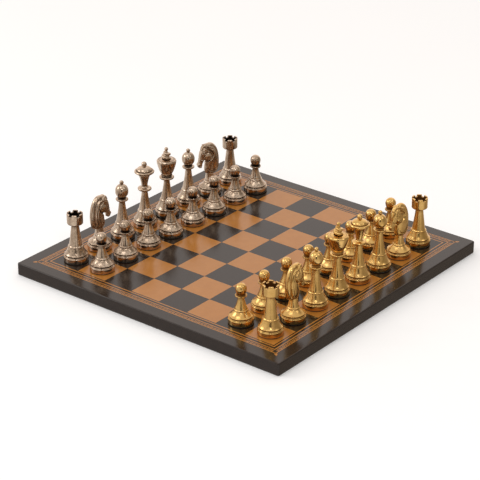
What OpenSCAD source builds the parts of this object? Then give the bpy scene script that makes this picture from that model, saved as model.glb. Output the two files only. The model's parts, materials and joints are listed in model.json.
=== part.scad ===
// Chess set: thirty-two turned and cast metal chessmen standing on a flat square board.
// The board is a wood-fibre panel wrapped in leatherette, with gold squares and a gold
// frame stamped into the top. Every man is a metal casting with a felt pad under its foot.
// Origin: middle of the board's underside. +Z is up, the gold men are at -Y, files run
// along +X. Millimetres.

/* [Board] */
// Side of the square board, over the leatherette
board_side = 350; // [346:1:400]
// Thickness of the board, over the leatherette
board_t = 14; // [12:0.5:20]
// Side of one chess square
square = 37.25; // [34:0.25:37.25]
// Thickness of the leatherette wrap
cover_t = 0.8; // [0.5:0.1:1.2]
// Radius of the board's upright corners
corner_r = 2.4; // [1.5:0.1:4]
// Radius of the board's long top and bottom edges
edge_r = 1.2; // [0.6:0.1:1.8]
// Width of the leatherette that folds under the board's rim
turn_in = 16; // [10:1:25]

/* [Printing] */
// Depth of the stamped gold layer
foil_t = 0.1; // [0.05:0.05:0.2]
// Dark hairline left between a gold square and its neighbours
hairline = 0.1; // [0.05:0.05:0.3]

/* [Chessmen] */
// Diameter of the foot of every man
foot_d = 26.6; // [22:0.2:28]
// Height of a pawn above the board
pawn_h = 43.8; // [40:0.2:48]
// Height of a rook
rook_h = 55; // [51:0.5:60]
// Height of a knight
knight_h = 61.6; // [58:0.2:66]
// Height of a bishop
bishop_h = 66.6; // [62:0.2:72]
// Height of a queen
queen_h = 76; // [71:0.5:82]
// Height of a king
king_h = 80.6; // [76:0.2:88]
// Thickness of the felt pad under each man
felt_t = 0.8; // [0.5:0.1:1.2]

/* [Rook crown] */
// Number of merlons round the crown
merlons = 6; // [5:1:8]
// Depth of the notches between them
notch_depth = 2.4; // [2:0.2:4]
// Depth of the cup inside the crown
cup_depth = 8; // [5:0.5:10]

/* [Hidden] */
$fn = 48;
felt_r = foot_d / 2 - 0.5;
field = 8 * square;
merlon_turn = 38.4;      // puts one merlon square on to the board's near corner
gold_c = [0.80, 0.63, 0.33];
silver_c = [0.66, 0.61, 0.55];
felt_c = [0.10, 0.16, 0.12];
cover_c = [0.20, 0.19, 0.19];
print_c = [0.76, 0.54, 0.36];

// ---- curves ---------------------------------------------------------------

// points of an arc round [cx, cz], from angle a0 to a1, in n steps
function arc(cx, cz, r, a0, a1, n) =
    [for (i = [0:n]) let (a = a0 + (a1 - a0) * i / n) [cx + r * cos(a), cz + r * sin(a)]];

// points of a curve that leaves p0 towards c and arrives at p1 from c
function bend(p0, c, p1, n) =
    [for (i = [0:n]) let (t = i / n) (1 - t) * (1 - t) * p0 + 2 * t * (1 - t) * c + t * t * p1];

// a profile moved up by dz
function up(pts, dz) = [for (p = pts) [p[0], p[1] + dz]];

// heights above z0 stretched so that the nominal height h0 becomes h
function stretch(pts, z0, h0, h) =
    [for (p = pts) [p[0], p[1] <= z0 ? p[1] : z0 + (p[1] - z0) * (h - z0) / (h0 - z0)]];

// the foot's radius moved with the foot's diameter, fading out up the stem
function widen(pts) =
    [for (p = pts) [p[1] < 9 ? p[0] * foot_d / 26.6 : p[0] * (1 + (foot_d / 26.6 - 1) * max(0, (16 - p[1]) / 7)), p[1]]];

// ---- profiles, [radius, height above the board] ------------------------------

// plinth, lip, groove and the bell's lower rim, that every man shares
foot = concat(
    [[0, felt_t], [12.95, felt_t], [13.3, felt_t + 0.35], [13.3, 5.6], [13.15, 6.0]],
    [[12.85, 6.2], [12.8, 7.0], [12.5, 7.25], [11.8, 7.4], [11.8, 8.0], [12.2, 8.2], [12.45, 8.5], [12.4, 8.85]]);

// flared bell and ring of the officers and the pawns: rr ring radius, rz ring height
function bell(rr, rz) = let (p0 = [12.2, 9.05], p1 = [rr + 0.1, rz - 1.2]) concat(
    bend(p0, p0 + 0.42 * (p1 - p0) - [0.45, 1.0] * (rz - 10.25) / 7, p1, 5),
    [[rr - 0.15, rz - 0.75]],
    arc(rr - 0.6, rz, 0.65, -55, 75, 4));

pawn_pts = concat(foot, bell(7.4, 14.9),
    [[6.55, 16.0]],
    bend([6.1, 17.6], [4.2, 22.0], [3.35, 28.2], 6),
    [[3.5, 29.0], [5.3, 29.3], [6.05, 29.8], [6.15, 30.6], [5.9, 31.2], [5.2, 31.0], [4.3, 31.0], [4.1, 31.8]],
    bend([4.25, 32.5], [5.15, 33.9], [5.5, 35.7], 3),
    arc(0, 37.95, 5.83, -14, 82, 11),
    [[0, 43.8]]);

rook_pts = concat(foot, bell(8.3, 17.2),
    [[7.35, 18.4], [7.0, 19.0]],
    bend([6.95, 19.6], [5.5, 29.0], [4.25, 40.2], 4),
    [[4.1, 40.9], [4.7, 41.5], [8.35, 43.5], [8.6, 44.0], [8.7, 54.6], [8.4, 55.0]]);

bishop_pts = concat(foot, bell(8.05, 17.2),
    [[7.2, 18.4], [6.9, 19.0]],
    bend([6.85, 19.7], [4.7, 28.0], [3.4, 41.2], 6),
    [[3.5, 42.4], [5.2, 43.0], [6.5, 43.8], [6.85, 44.6], [6.75, 45.4], [6.1, 45.8], [4.9, 45.9], [4.3, 46.4],
     [4.2, 47.6], [4.9, 48.3]],
    bend([5.3, 48.8], [7.5, 50.8], [7.1, 55.2], 5),
    bend([7.05, 56.2], [6.2, 60.4], [2.0, 62.3], 6),
    [[1.5, 62.6], [1.45, 63.0]],
    arc(0, 64.4, 2.3, -48, 78, 7),
    [[0, 66.6]]);

queen_pts = concat(foot, bell(8.0, 18.3),
    [[7.1, 19.5], [6.8, 20.2]],
    bend([6.75, 20.8], [4.6, 28.0], [3.35, 41.0], 6),
    [[3.5, 42.0], [5.6, 42.5], [7.3, 43.2], [7.65, 44.0], [7.65, 44.7], [7.2, 45.4], [5.2, 45.9], [4.2, 46.2], [3.6, 46.9], [3.35, 48.2]],
    bend([3.4, 49.2], [4.1, 54.0], [5.9, 59.4], 4),
    [[6.3, 60.6], [7.4, 61.2], [8.0, 61.9], [8.6, 62.6], [10.2, 63.2], [10.9, 63.9], [10.95, 64.9], [10.4, 65.6], [9.0, 65.9], [8.5, 66.3]],
    bend([8.3, 66.8], [7.2, 69.0], [3.4, 70.4], 4),
    [[2.4, 70.8], [2.1, 71.3], [2.2, 71.7]],
    arc(0, 73.1, 2.95, -38, 80, 8),
    [[0, 76.0]]);

king_pts = concat(foot, bell(8.0, 18.3),
    [[7.1, 19.5], [6.8, 20.2]],
    bend([6.75, 20.8], [4.6, 28.0], [3.25, 41.0], 6),
    [[3.5, 42.6], [6.2, 43.2], [7.9, 44.0], [8.25, 44.9], [8.1, 45.7], [7.4, 46.2], [5.6, 46.4], [5.2, 46.9], [5.3, 47.3],
     [6.1, 47.6], [6.2, 48.2], [5.7, 48.6], [6.0, 49.3]],
    bend([6.4, 50.2], [8.3, 53.4], [9.3, 57.0], 4),
    [[10.2, 60.2], [10.9, 63.4], [10.95, 64.4], [10.6, 65.4], [9.9, 66.1], [9.3, 66.35], [8.8, 66.2], [7.0, 66.45],
     [5.4, 66.8], [5.0, 66.7], [4.8, 66.3], [4.8, 60.0], [0, 60.0]]);

king_finial_pts = concat(
    [[0, 60.0], [2.9, 60.0], [2.9, 65.5], [3.8, 67.2], [4.9, 68.6], [5.25, 70.0], [5.15, 71.4], [4.4, 72.2], [3.7, 72.7],
     [3.4, 73.3], [3.55, 74.2], [3.5, 75.0], [2.8, 75.8], [1.8, 76.2], [1.4, 76.7], [1.5, 77.0]],
    arc(0, 78.45, 2.15, -45, 80, 7),
    [[0, 80.6]]);

knight_pedestal_pts = concat(foot,
    bend([12.2, 9.05], [9.7, 10.25], [6.9, 13.2], 5),
    [[6.55, 13.7]],
    arc(6.1, 14.4, 0.65, -55, 70, 4),
    [[5.75, 15.6]],
    bend([5.6, 16.4], [4.5, 20.0], [4.2, 25.2], 4),
    [[2.5, 25.2], [2.5, 31.0], [2.2, 31.4], [0, 31.4]]);

// ---- board --------------------------------------------------------------------

// rectangle with round corners, made of two bars and four discs
module round_rect(w, h, r) {
    square([w - 2 * r, h], center = true);
    square([w, h - 2 * r], center = true);
    for (x = [-1, 1], y = [-1, 1]) translate([x * (w / 2 - r), y * (h / 2 - r)]) circle(r);
}

// slab with rounded long edges and rounded upright corners, standing on z = 0
module soft_slab(side, t, r_corner, r_edge) {
    intersection() {
        linear_extrude(t) round_rect(side, side, r_corner);
        translate([0, 0, t / 2]) rotate([90, 0, 0])
            linear_extrude(side + 10, center = true) round_rect(side, t, r_edge);
        translate([0, 0, t / 2]) rotate([90, 0, 90])
            linear_extrude(side + 10, center = true) round_rect(side, t, r_edge);
    }
}

// flat square ring, outside and inside half widths
module square_ring(ro, ri, z, t) {
    translate([0, 0, z]) linear_extrude(t) difference() {
        square(2 * ro, center = true);
        square(2 * ri, center = true);
    }
}

// the thirty-two stamped squares; file and rank run from 1 to 8
module stamped_squares(grow = 0) {
    for (f = [1:8], r = [1:8]) if ((f + r) % 2 == 0)
        translate([(f - 4.5) * square, (r - 4.5) * square, board_t - foil_t])
            linear_extrude(foil_t + grow) intersection() {
                square(square - hairline, center = true);
                // the outer squares stop short of the first frame line
                translate([-(f - 4.5) * square, -(r - 4.5) * square]) square(field - 2.6, center = true);
            }
}

// stamped frame: fillet line, then the ornamental band between its two rails
module stamped_frame(grow = 0) {
    e = field / 2;
    square_ring(e + 1.5, e + 0.1, board_t - foil_t, foil_t + grow);
    square_ring(e + 5.5, e + 4.3, board_t - foil_t, foil_t + grow);
    square_ring(e + 9.4, e + 6.0, board_t - foil_t, foil_t + grow);
    square_ring(e + 10.9, e + 9.9, board_t - foil_t, foil_t + grow);
}

module board_core() {
    s = board_side - 2 * cover_t;
    color([0.55, 0.42, 0.28]) translate([0, 0, cover_t])
        linear_extrude(board_t - 2 * cover_t) square(s - 0.8, center = true);
}

module leatherette_cover() {
    color(cover_c) difference() {
        soft_slab(board_side, board_t, corner_r, edge_r);
        // space for the panel
        translate([0, 0, board_t / 2])
            cube([board_side - 2 * cover_t - 0.8, board_side - 2 * cover_t - 0.8, board_t - 2 * cover_t], center = true);
        // opening inside the turned-in rim
        translate([0, 0, cover_t / 2])
            cube([board_side - 2 * turn_in, board_side - 2 * turn_in, cover_t + 0.01], center = true);
        translate([0, 0, -1])
            linear_extrude(1.5) square(board_side - 2 * turn_in, center = true);
        // sunk beds of the gold stamping
        stamped_squares(1);
        stamped_frame(1);
    }
}

module gold_squares() color(print_c) stamped_squares();
module gold_border() color(print_c) stamped_frame();

module underside_lining() {
    color([0.12, 0.12, 0.13]) linear_extrude(cover_t)
        square(board_side - 2 * turn_in - 0.4, center = true);
}

// ---- chessmen -------------------------------------------------------------------

// stands a man on its square
module place(file, rank) {
    translate([(file - 4.5) * square, (rank - 4.5) * square, board_t]) children();
}

module turned(pts) rotate_extrude() polygon(concat(widen(pts), [[0, pts[len(pts) - 1][1]]]));

module felt_pad(glue = 0) cylinder(r = felt_r, h = felt_t - glue);

module pawn_casting() turned(stretch(pawn_pts, 16, 43.8, pawn_h));

module rook_body() {
    k = (rook_h - 18) / (55 - 18);
    difference() {
        turned(concat(stretch(rook_pts, 18, 55, rook_h), [[0, rook_h]]));
        // cup
        translate([0, 0, rook_h - cup_depth]) cylinder(r1 = 5.6, r2 = 6.6, h = cup_depth + 0.01);
        // notches
        for (i = [0:merlons - 1]) rotate([0, 0, merlon_turn + (i + 0.5) * 360 / merlons])
            translate([4, -1.75, rook_h - notch_depth]) cube([8, 3.5, notch_depth + 1]);
    }
}

module bishop_body() turned(stretch(bishop_pts, 18, 66.6, bishop_h));
module queen_body() turned(stretch(queen_pts, 18, 76, queen_h));

// the king's cup is bored for the finial's shank
module king_body() difference() {
    turned(stretch(king_pts, 18, 80.6, king_h));
    translate([0, 0, king_z(55)]) cylinder(r = 2.04, h = 8);
}
function king_z(z) = 18 + (z - 18) * (king_h - 18) / (80.6 - 18);
module king_finial() {
    turned(stretch(king_finial_pts, 18, 80.6, king_h));
    translate([0, 0, king_z(55.5)]) cylinder(r = 2.0, h = 6);
}

module knight_pedestal() turned(stretch(knight_pedestal_pts, 18, 61.6, knight_h));

// ring of n points: an ellipse with half axes a (along the tilted forward direction) and b
// (across), centred on [x, 0, z]; tilt 0 lays it flat
function ell(x, z, a, b, tilt, n) =
    [for (i = [0:n - 1]) let (w = 360 * i / n, u = a * cos(w)) [x + u * cos(tilt), b * sin(w), z + u * sin(tilt)]];

// solid through a stack of rings
module loft(rings) {
    n = len(rings[0]);
    m = len(rings);
    polyhedron(
        points = [for (r = rings) for (p = r) p],
        faces = concat(
            [[for (i = [0:n - 1]) i]],
            [[for (i = [0:n - 1]) (m - 1) * n + n - 1 - i]],
            [for (j = [0:m - 2]) for (i = [0:n - 1]) let (k = (i + 1) % n)
                [j * n + i, (j + 1) * n + i, (j + 1) * n + k]],
            [for (j = [0:m - 2]) for (i = [0:n - 1]) let (k = (i + 1) % n)
                [j * n + i, (j + 1) * n + k, j * n + k]]));
}

// arched neck: [height, back of the crest, front of the throat, half thickness]
neck = [
    [25.2, -6.4, 5.2, 4.4], [26.2, -9.0, 6.4, 5.0], [28.5, -10.5, 7.2, 5.4], [32, -11.6, 7.6, 5.6],
    [36, -12.1, 7.2, 5.7], [41, -12.1, 6.6, 5.6], [46, -11.6, 6.6, 5.4], [50.5, -10.5, 7.4, 5.1],
    [54.5, -9.0, 8.0, 4.7], [58, -6.8, 7.8, 4.1], [60.3, -4.2, 6.6, 3.2], [61.6, -1.8, 4.4, 1.6]];

// head from the lips up to the poll: [forward, height, half depth, half thickness, tilt]
face = [
    [12.7, 34.9, 1.5, 1.7, 2], [12.9, 35.8, 2.5, 2.7, 4], [12.9, 37.8, 3.2, 3.3, 8], [11.9, 40.4, 3.4, 3.4, 14],
    [10.4, 43.6, 3.9, 3.9, 20], [8.7, 47.6, 5.0, 4.7, 22], [7.2, 51.4, 5.2, 4.9, 28], [5.4, 54.6, 4.4, 4.4, 38],
    [3.6, 56.6, 2.6, 3.2, 42]];

module knight_head() {
    k = (knight_h - 18) / (61.6 - 18);
    translate([0, 0, 18]) scale([1, 1, k]) translate([0, 0, -18]) difference() {
        union() {
            loft([for (s = neck) ell((s[1] + s[2]) / 2, s[0], (s[2] - s[1]) / 2, s[3], 0, 20)]);
            loft([for (s = face) ell(s[0], s[1], s[2], s[3], s[4], 16)]);
            // ears
            for (y = [-1, 1]) translate([0, 2.1 * y, 0]) loft([
                ell(5.6, 57.0, 1.6, 1.2, 10, 8), ell(6.2, 59.6, 1.2, 0.9, 10, 8), ell(7.0, 61.5, 0.4, 0.35, 10, 8)]);
        }
        // socket for the pedestal's spigot
        translate([0, 0, 20]) cylinder(r = 2.55, h = 11.5);
    }
}

module gold_pawn_a() place(1, 2) { color(gold_c) pawn_casting(); color(felt_c) felt_pad(0.04); }
module gold_pawn_b() place(2, 2) { color(gold_c) pawn_casting(); color(felt_c) felt_pad(0.04); }
module gold_pawn_c() place(3, 2) { color(gold_c) pawn_casting(); color(felt_c) felt_pad(0.04); }
module gold_pawn_d() place(4, 2) { color(gold_c) pawn_casting(); color(felt_c) felt_pad(0.04); }
module gold_pawn_e() place(5, 2) { color(gold_c) pawn_casting(); color(felt_c) felt_pad(0.04); }
module gold_pawn_f() place(6, 2) { color(gold_c) pawn_casting(); color(felt_c) felt_pad(0.04); }
module gold_pawn_g() place(7, 2) { color(gold_c) pawn_casting(); color(felt_c) felt_pad(0.04); }
module gold_pawn_h() place(8, 2) { color(gold_c) pawn_casting(); color(felt_c) felt_pad(0.04); }
module gold_rook_a() place(1, 1) color(gold_c) rook_body();
module gold_rook_a_felt() place(1, 1) color(felt_c) felt_pad();
module gold_knight_b() place(2, 1) color(gold_c) knight_pedestal();
module gold_knight_b_head() place(2, 1) color(gold_c) rotate([0, 0, 0]) knight_head();
module gold_knight_b_felt() place(2, 1) color(felt_c) felt_pad();
module gold_bishop_c() place(3, 1) color(gold_c) bishop_body();
module gold_bishop_c_felt() place(3, 1) color(felt_c) felt_pad();
module gold_king() place(4, 1) color(gold_c) king_body();
module gold_king_finial() place(4, 1) color(gold_c) king_finial();
module gold_king_felt() place(4, 1) color(felt_c) felt_pad();
module gold_queen() place(5, 1) color(gold_c) queen_body();
module gold_queen_felt() place(5, 1) color(felt_c) felt_pad();
module gold_bishop_f() place(6, 1) color(gold_c) bishop_body();
module gold_bishop_f_felt() place(6, 1) color(felt_c) felt_pad();
module gold_knight_g() place(7, 1) color(gold_c) knight_pedestal();
module gold_knight_g_head() place(7, 1) color(gold_c) rotate([0, 0, 173]) knight_head();
module gold_knight_g_felt() place(7, 1) color(felt_c) felt_pad();
module gold_rook_h() place(8, 1) color(gold_c) rook_body();
module gold_rook_h_felt() place(8, 1) color(felt_c) felt_pad();
module silver_pawn_a() place(1, 7) { color(silver_c) pawn_casting(); color(felt_c) felt_pad(0.04); }
module silver_pawn_b() place(2, 7) { color(silver_c) pawn_casting(); color(felt_c) felt_pad(0.04); }
module silver_pawn_c() place(3, 7) { color(silver_c) pawn_casting(); color(felt_c) felt_pad(0.04); }
module silver_pawn_d() place(4, 7) { color(silver_c) pawn_casting(); color(felt_c) felt_pad(0.04); }
module silver_pawn_e() place(5, 7) { color(silver_c) pawn_casting(); color(felt_c) felt_pad(0.04); }
module silver_pawn_f() place(6, 7) { color(silver_c) pawn_casting(); color(felt_c) felt_pad(0.04); }
module silver_pawn_g() place(7, 7) { color(silver_c) pawn_casting(); color(felt_c) felt_pad(0.04); }
module silver_pawn_h() place(8, 7) { color(silver_c) pawn_casting(); color(felt_c) felt_pad(0.04); }
module silver_rook_a() place(1, 8) color(silver_c) rook_body();
module silver_rook_a_felt() place(1, 8) color(felt_c) felt_pad();
module silver_knight_b() place(2, 8) color(silver_c) knight_pedestal();
module silver_knight_b_head() place(2, 8) color(silver_c) rotate([0, 0, -4.5]) knight_head();
module silver_knight_b_felt() place(2, 8) color(felt_c) felt_pad();
module silver_bishop_c() place(3, 8) color(silver_c) bishop_body();
module silver_bishop_c_felt() place(3, 8) color(felt_c) felt_pad();
module silver_queen() place(4, 8) color(silver_c) queen_body();
module silver_queen_felt() place(4, 8) color(felt_c) felt_pad();
module silver_king() place(5, 8) color(silver_c) king_body();
module silver_king_finial() place(5, 8) color(silver_c) king_finial();
module silver_king_felt() place(5, 8) color(felt_c) felt_pad();
module silver_bishop_f() place(6, 8) color(silver_c) bishop_body();
module silver_bishop_f_felt() place(6, 8) color(felt_c) felt_pad();
module silver_knight_g() place(7, 8) color(silver_c) knight_pedestal();
module silver_knight_g_head() place(7, 8) color(silver_c) rotate([0, 0, 162]) knight_head();
module silver_knight_g_felt() place(7, 8) color(felt_c) felt_pad();
module silver_rook_h() place(8, 8) color(silver_c) rook_body();
module silver_rook_h_felt() place(8, 8) color(felt_c) felt_pad();

board_core();
leatherette_cover();
gold_squares();
gold_border();
underside_lining();
gold_pawn_a();
gold_pawn_b();
gold_pawn_c();
gold_pawn_d();
gold_pawn_e();
gold_pawn_f();
gold_pawn_g();
gold_pawn_h();
gold_rook_a();
gold_rook_a_felt();
gold_knight_b();
gold_knight_b_felt();
gold_knight_b_head();
gold_bishop_c();
gold_bishop_c_felt();
gold_king();
gold_king_felt();
gold_king_finial();
gold_queen();
gold_queen_felt();
gold_bishop_f();
gold_bishop_f_felt();
gold_knight_g();
gold_knight_g_felt();
gold_knight_g_head();
gold_rook_h();
gold_rook_h_felt();
silver_pawn_a();
silver_pawn_b();
silver_pawn_c();
silver_pawn_d();
silver_pawn_e();
silver_pawn_f();
silver_pawn_g();
silver_pawn_h();
silver_rook_a();
silver_rook_a_felt();
silver_knight_b();
silver_knight_b_felt();
silver_knight_b_head();
silver_bishop_c();
silver_bishop_c_felt();
silver_queen();
silver_queen_felt();
silver_king();
silver_king_felt();
silver_king_finial();
silver_bishop_f();
silver_bishop_f_felt();
silver_knight_g();
silver_knight_g_felt();
silver_knight_g_head();
silver_rook_h();
silver_rook_h_felt();
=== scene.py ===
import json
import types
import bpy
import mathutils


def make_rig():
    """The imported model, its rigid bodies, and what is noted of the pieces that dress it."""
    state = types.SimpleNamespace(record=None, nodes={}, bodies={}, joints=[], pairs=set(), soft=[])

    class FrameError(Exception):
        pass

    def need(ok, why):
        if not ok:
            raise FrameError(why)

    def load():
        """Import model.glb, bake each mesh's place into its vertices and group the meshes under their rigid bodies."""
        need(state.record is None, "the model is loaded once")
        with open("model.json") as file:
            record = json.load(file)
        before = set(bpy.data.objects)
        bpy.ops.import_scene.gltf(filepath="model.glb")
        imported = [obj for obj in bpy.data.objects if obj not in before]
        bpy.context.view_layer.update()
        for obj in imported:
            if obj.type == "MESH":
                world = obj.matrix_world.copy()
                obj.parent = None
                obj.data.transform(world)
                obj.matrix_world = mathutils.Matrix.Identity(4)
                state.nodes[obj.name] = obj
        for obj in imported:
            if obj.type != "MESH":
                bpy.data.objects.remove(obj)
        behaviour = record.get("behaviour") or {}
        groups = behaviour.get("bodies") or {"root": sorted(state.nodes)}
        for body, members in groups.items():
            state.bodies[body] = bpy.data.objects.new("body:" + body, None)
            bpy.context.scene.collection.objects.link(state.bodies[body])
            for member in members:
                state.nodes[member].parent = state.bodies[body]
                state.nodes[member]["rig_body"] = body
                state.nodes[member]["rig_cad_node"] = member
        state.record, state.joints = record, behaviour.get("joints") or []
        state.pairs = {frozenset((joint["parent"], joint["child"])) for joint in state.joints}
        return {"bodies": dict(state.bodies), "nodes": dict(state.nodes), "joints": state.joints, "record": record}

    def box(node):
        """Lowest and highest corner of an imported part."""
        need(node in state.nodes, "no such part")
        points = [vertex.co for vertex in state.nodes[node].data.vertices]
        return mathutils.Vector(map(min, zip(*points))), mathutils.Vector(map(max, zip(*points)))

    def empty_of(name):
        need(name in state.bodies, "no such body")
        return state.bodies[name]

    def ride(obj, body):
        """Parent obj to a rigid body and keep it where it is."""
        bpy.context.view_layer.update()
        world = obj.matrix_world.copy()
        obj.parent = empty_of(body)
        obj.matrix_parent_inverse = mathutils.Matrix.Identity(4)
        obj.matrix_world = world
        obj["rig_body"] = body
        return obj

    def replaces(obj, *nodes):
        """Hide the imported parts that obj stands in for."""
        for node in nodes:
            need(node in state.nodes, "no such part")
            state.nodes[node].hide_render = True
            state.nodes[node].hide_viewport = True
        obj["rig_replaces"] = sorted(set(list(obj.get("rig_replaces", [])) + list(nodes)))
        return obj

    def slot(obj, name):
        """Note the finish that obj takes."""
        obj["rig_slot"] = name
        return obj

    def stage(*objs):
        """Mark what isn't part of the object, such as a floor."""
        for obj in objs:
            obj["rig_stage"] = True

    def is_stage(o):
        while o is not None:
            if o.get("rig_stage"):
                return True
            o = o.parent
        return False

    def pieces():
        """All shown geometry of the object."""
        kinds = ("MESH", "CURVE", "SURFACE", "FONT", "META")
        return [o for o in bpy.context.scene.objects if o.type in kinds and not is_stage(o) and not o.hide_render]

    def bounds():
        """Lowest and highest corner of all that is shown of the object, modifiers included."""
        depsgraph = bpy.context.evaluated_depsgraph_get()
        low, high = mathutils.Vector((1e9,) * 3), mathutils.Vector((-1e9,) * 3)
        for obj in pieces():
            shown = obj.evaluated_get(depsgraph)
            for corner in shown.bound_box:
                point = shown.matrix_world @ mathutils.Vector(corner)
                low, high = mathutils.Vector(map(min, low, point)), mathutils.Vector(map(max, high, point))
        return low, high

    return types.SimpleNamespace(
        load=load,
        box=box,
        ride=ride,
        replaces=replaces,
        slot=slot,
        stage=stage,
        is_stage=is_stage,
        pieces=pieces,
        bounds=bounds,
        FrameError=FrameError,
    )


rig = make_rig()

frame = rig.load()

import json
import math

import bmesh
import bpy
import numpy as np
from mathutils import Matrix, Vector, noise

cad_lo, cad_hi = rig.bounds()
MM = 0.001
SC = bpy.context.scene

# ---------------------------------------------------------------- camera
look = Vector((0.70525, 0.55959, -0.43529)).normalized()
right = Vector((0.62259, -0.78254, 0.00271)).normalized()
upv = right.cross(look).normalized()
right = look.cross(upv).normalized()
cam_data = bpy.data.cameras.new("camera")
cam_data.lens = 150.48
cam_data.sensor_width = 36.0
cam_data.clip_start = 0.05
cam_data.clip_end = 30.0
cam = bpy.data.objects.new("camera", cam_data)
SC.collection.objects.link(cam)
cam.matrix_world = Matrix((
    (right.x, upv.x, -look.x, -1.5190),
    (right.y, upv.y, -look.y, -1.1934),
    (right.z, upv.z, -look.z, 0.9619),
    (0, 0, 0, 1)))
SC.camera = cam
SC.view_settings.view_transform = "Standard"
SC.view_settings.look = "None"

# ---------------------------------------------------------------- small helpers


def make(name, verts, faces, mats, body=None, slot=None, smooth=True, loc=(0, 0, 0), rot=0.0, scale=MM):
    """A mesh object from millimetre points."""
    me = bpy.data.meshes.new(name)
    me.from_pydata([(x * scale, y * scale, z * scale) for x, y, z in verts], [], faces)
    me.validate()
    me.update()
    if smooth:
        me.polygons.foreach_set("use_smooth", [True] * len(me.polygons))
    for m in mats if isinstance(mats, (list, tuple)) else [mats]:
        me.materials.append(m)
    return place(name, me, body, slot, loc, rot)


def place(name, me, body=None, slot=None, loc=(0, 0, 0), rot=0.0):
    o = bpy.data.objects.new(name, me)
    SC.collection.objects.link(o)
    o.location = loc
    o.rotation_euler = (0, 0, rot)
    bpy.context.view_layer.update()
    if body:
        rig.ride(o, body)
    if slot:
        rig.slot(o, slot)
    return o


def attr(me, name, values):
    a = me.attributes.get(name) or me.attributes.new(name, "FLOAT", "POINT")
    a.data.foreach_set("value", np.asarray(values, np.float32))


def arc(cx, cz, r, a0, a1, n):
    return [(cx + r * math.cos(math.radians(a0 + (a1 - a0) * i / n)),
             cz + r * math.sin(math.radians(a0 + (a1 - a0) * i / n))) for i in range(n + 1)]


def bend(p0, c, p1, n):
    out = []
    for i in range(n + 1):
        t = i / n
        out.append(tuple((1 - t) ** 2 * p0[k] + 2 * t * (1 - t) * c[k] + t * t * p1[k] for k in (0, 1)))
    return out


def soften(pts, radius, n=3):
    """Rounds each corner of an open profile whose ends lie on the axis."""
    out = [pts[0]]
    for i in range(1, len(pts) - 1):
        a, b, c = (np.array(pts[i - 1]), np.array(pts[i]), np.array(pts[i + 1]))
        la, lc = np.linalg.norm(a - b), np.linalg.norm(c - b)
        if la < 1e-6 or lc < 1e-6:
            continue
        ua, uc = (a - b) / la, (c - b) / lc
        if np.dot(ua, uc) < -0.9962:
            out.append(tuple(b))
            continue
        d = min(radius, 0.42 * la, 0.42 * lc)
        out += bend(tuple(b + ua * d), tuple(b), tuple(b + uc * d), n)
    out.append(pts[-1])
    return out


def densify(pts, step):
    out = [pts[0]]
    for a, b in zip(pts, pts[1:]):
        d = math.dist(a, b)
        n = max(1, int(math.ceil(d / step)))
        for i in range(1, n + 1):
            out.append((a[0] + (b[0] - a[0]) * i / n, a[1] + (b[1] - a[1]) * i / n))
    return out


def lathe(pts, seg, fn=None):
    """Revolves an open profile whose first and last points lie on the axis. fn(r, z, angle) gives the radius."""
    verts, faces = [], []
    rows = []
    for r, z in pts:
        if r < 1e-6:
            rows.append([len(verts)])
            verts.append((0, 0, z))
        else:
            row = []
            for k in range(seg):
                a = 2 * math.pi * k / seg
                rr, zz = fn(r, z, a) if fn else (r, z)
                row.append(len(verts))
                verts.append((rr * math.cos(a), rr * math.sin(a), zz))
            rows.append(row)
    for a, b in zip(rows, rows[1:]):
        for k in range(seg):
            k2 = (k + 1) % seg
            if len(a) == 1 and len(b) == 1:
                continue
            if len(a) == 1:
                faces.append((a[0], b[k2], b[k]))
            elif len(b) == 1:
                faces.append((a[k], a[k2], b[0]))
            else:
                faces.append((a[k], a[k2], b[k2], b[k]))
    return verts, faces


def laplace_cavity(me, gain, rounds=6):
    """How far each point lies below its smoothed surroundings, 0 to 1."""
    n = len(me.vertices)
    co = np.zeros(n * 3)
    me.vertices.foreach_get("co", co)
    co = co.reshape(-1, 3)
    no = np.zeros(n * 3)
    me.vertex_normals.foreach_get("vector", no)
    no = no.reshape(-1, 3)
    e = np.zeros(len(me.edges) * 2, np.int64)
    me.edges.foreach_get("vertices", e)
    e = e.reshape(-1, 2)
    deg = np.bincount(e.ravel(), minlength=n).astype(float)
    deg[deg == 0] = 1
    sm = co.copy()
    for _ in range(rounds):
        acc = np.zeros_like(sm)
        np.add.at(acc, e[:, 0], sm[e[:, 1]])
        np.add.at(acc, e[:, 1], sm[e[:, 0]])
        sm = 0.5 * sm + 0.5 * acc / deg[:, None]
    d = np.einsum("ij,ij->i", sm - co, no)
    c = np.clip(d * gain, 0, 1)
    for _ in range(2):
        acc = np.zeros(n)
        np.add.at(acc, e[:, 0], c[e[:, 1]])
        np.add.at(acc, e[:, 1], c[e[:, 0]])
        c = 0.5 * c + 0.5 * acc / deg
    return np.clip(c, 0, 1)


# ---------------------------------------------------------------- materials


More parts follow.
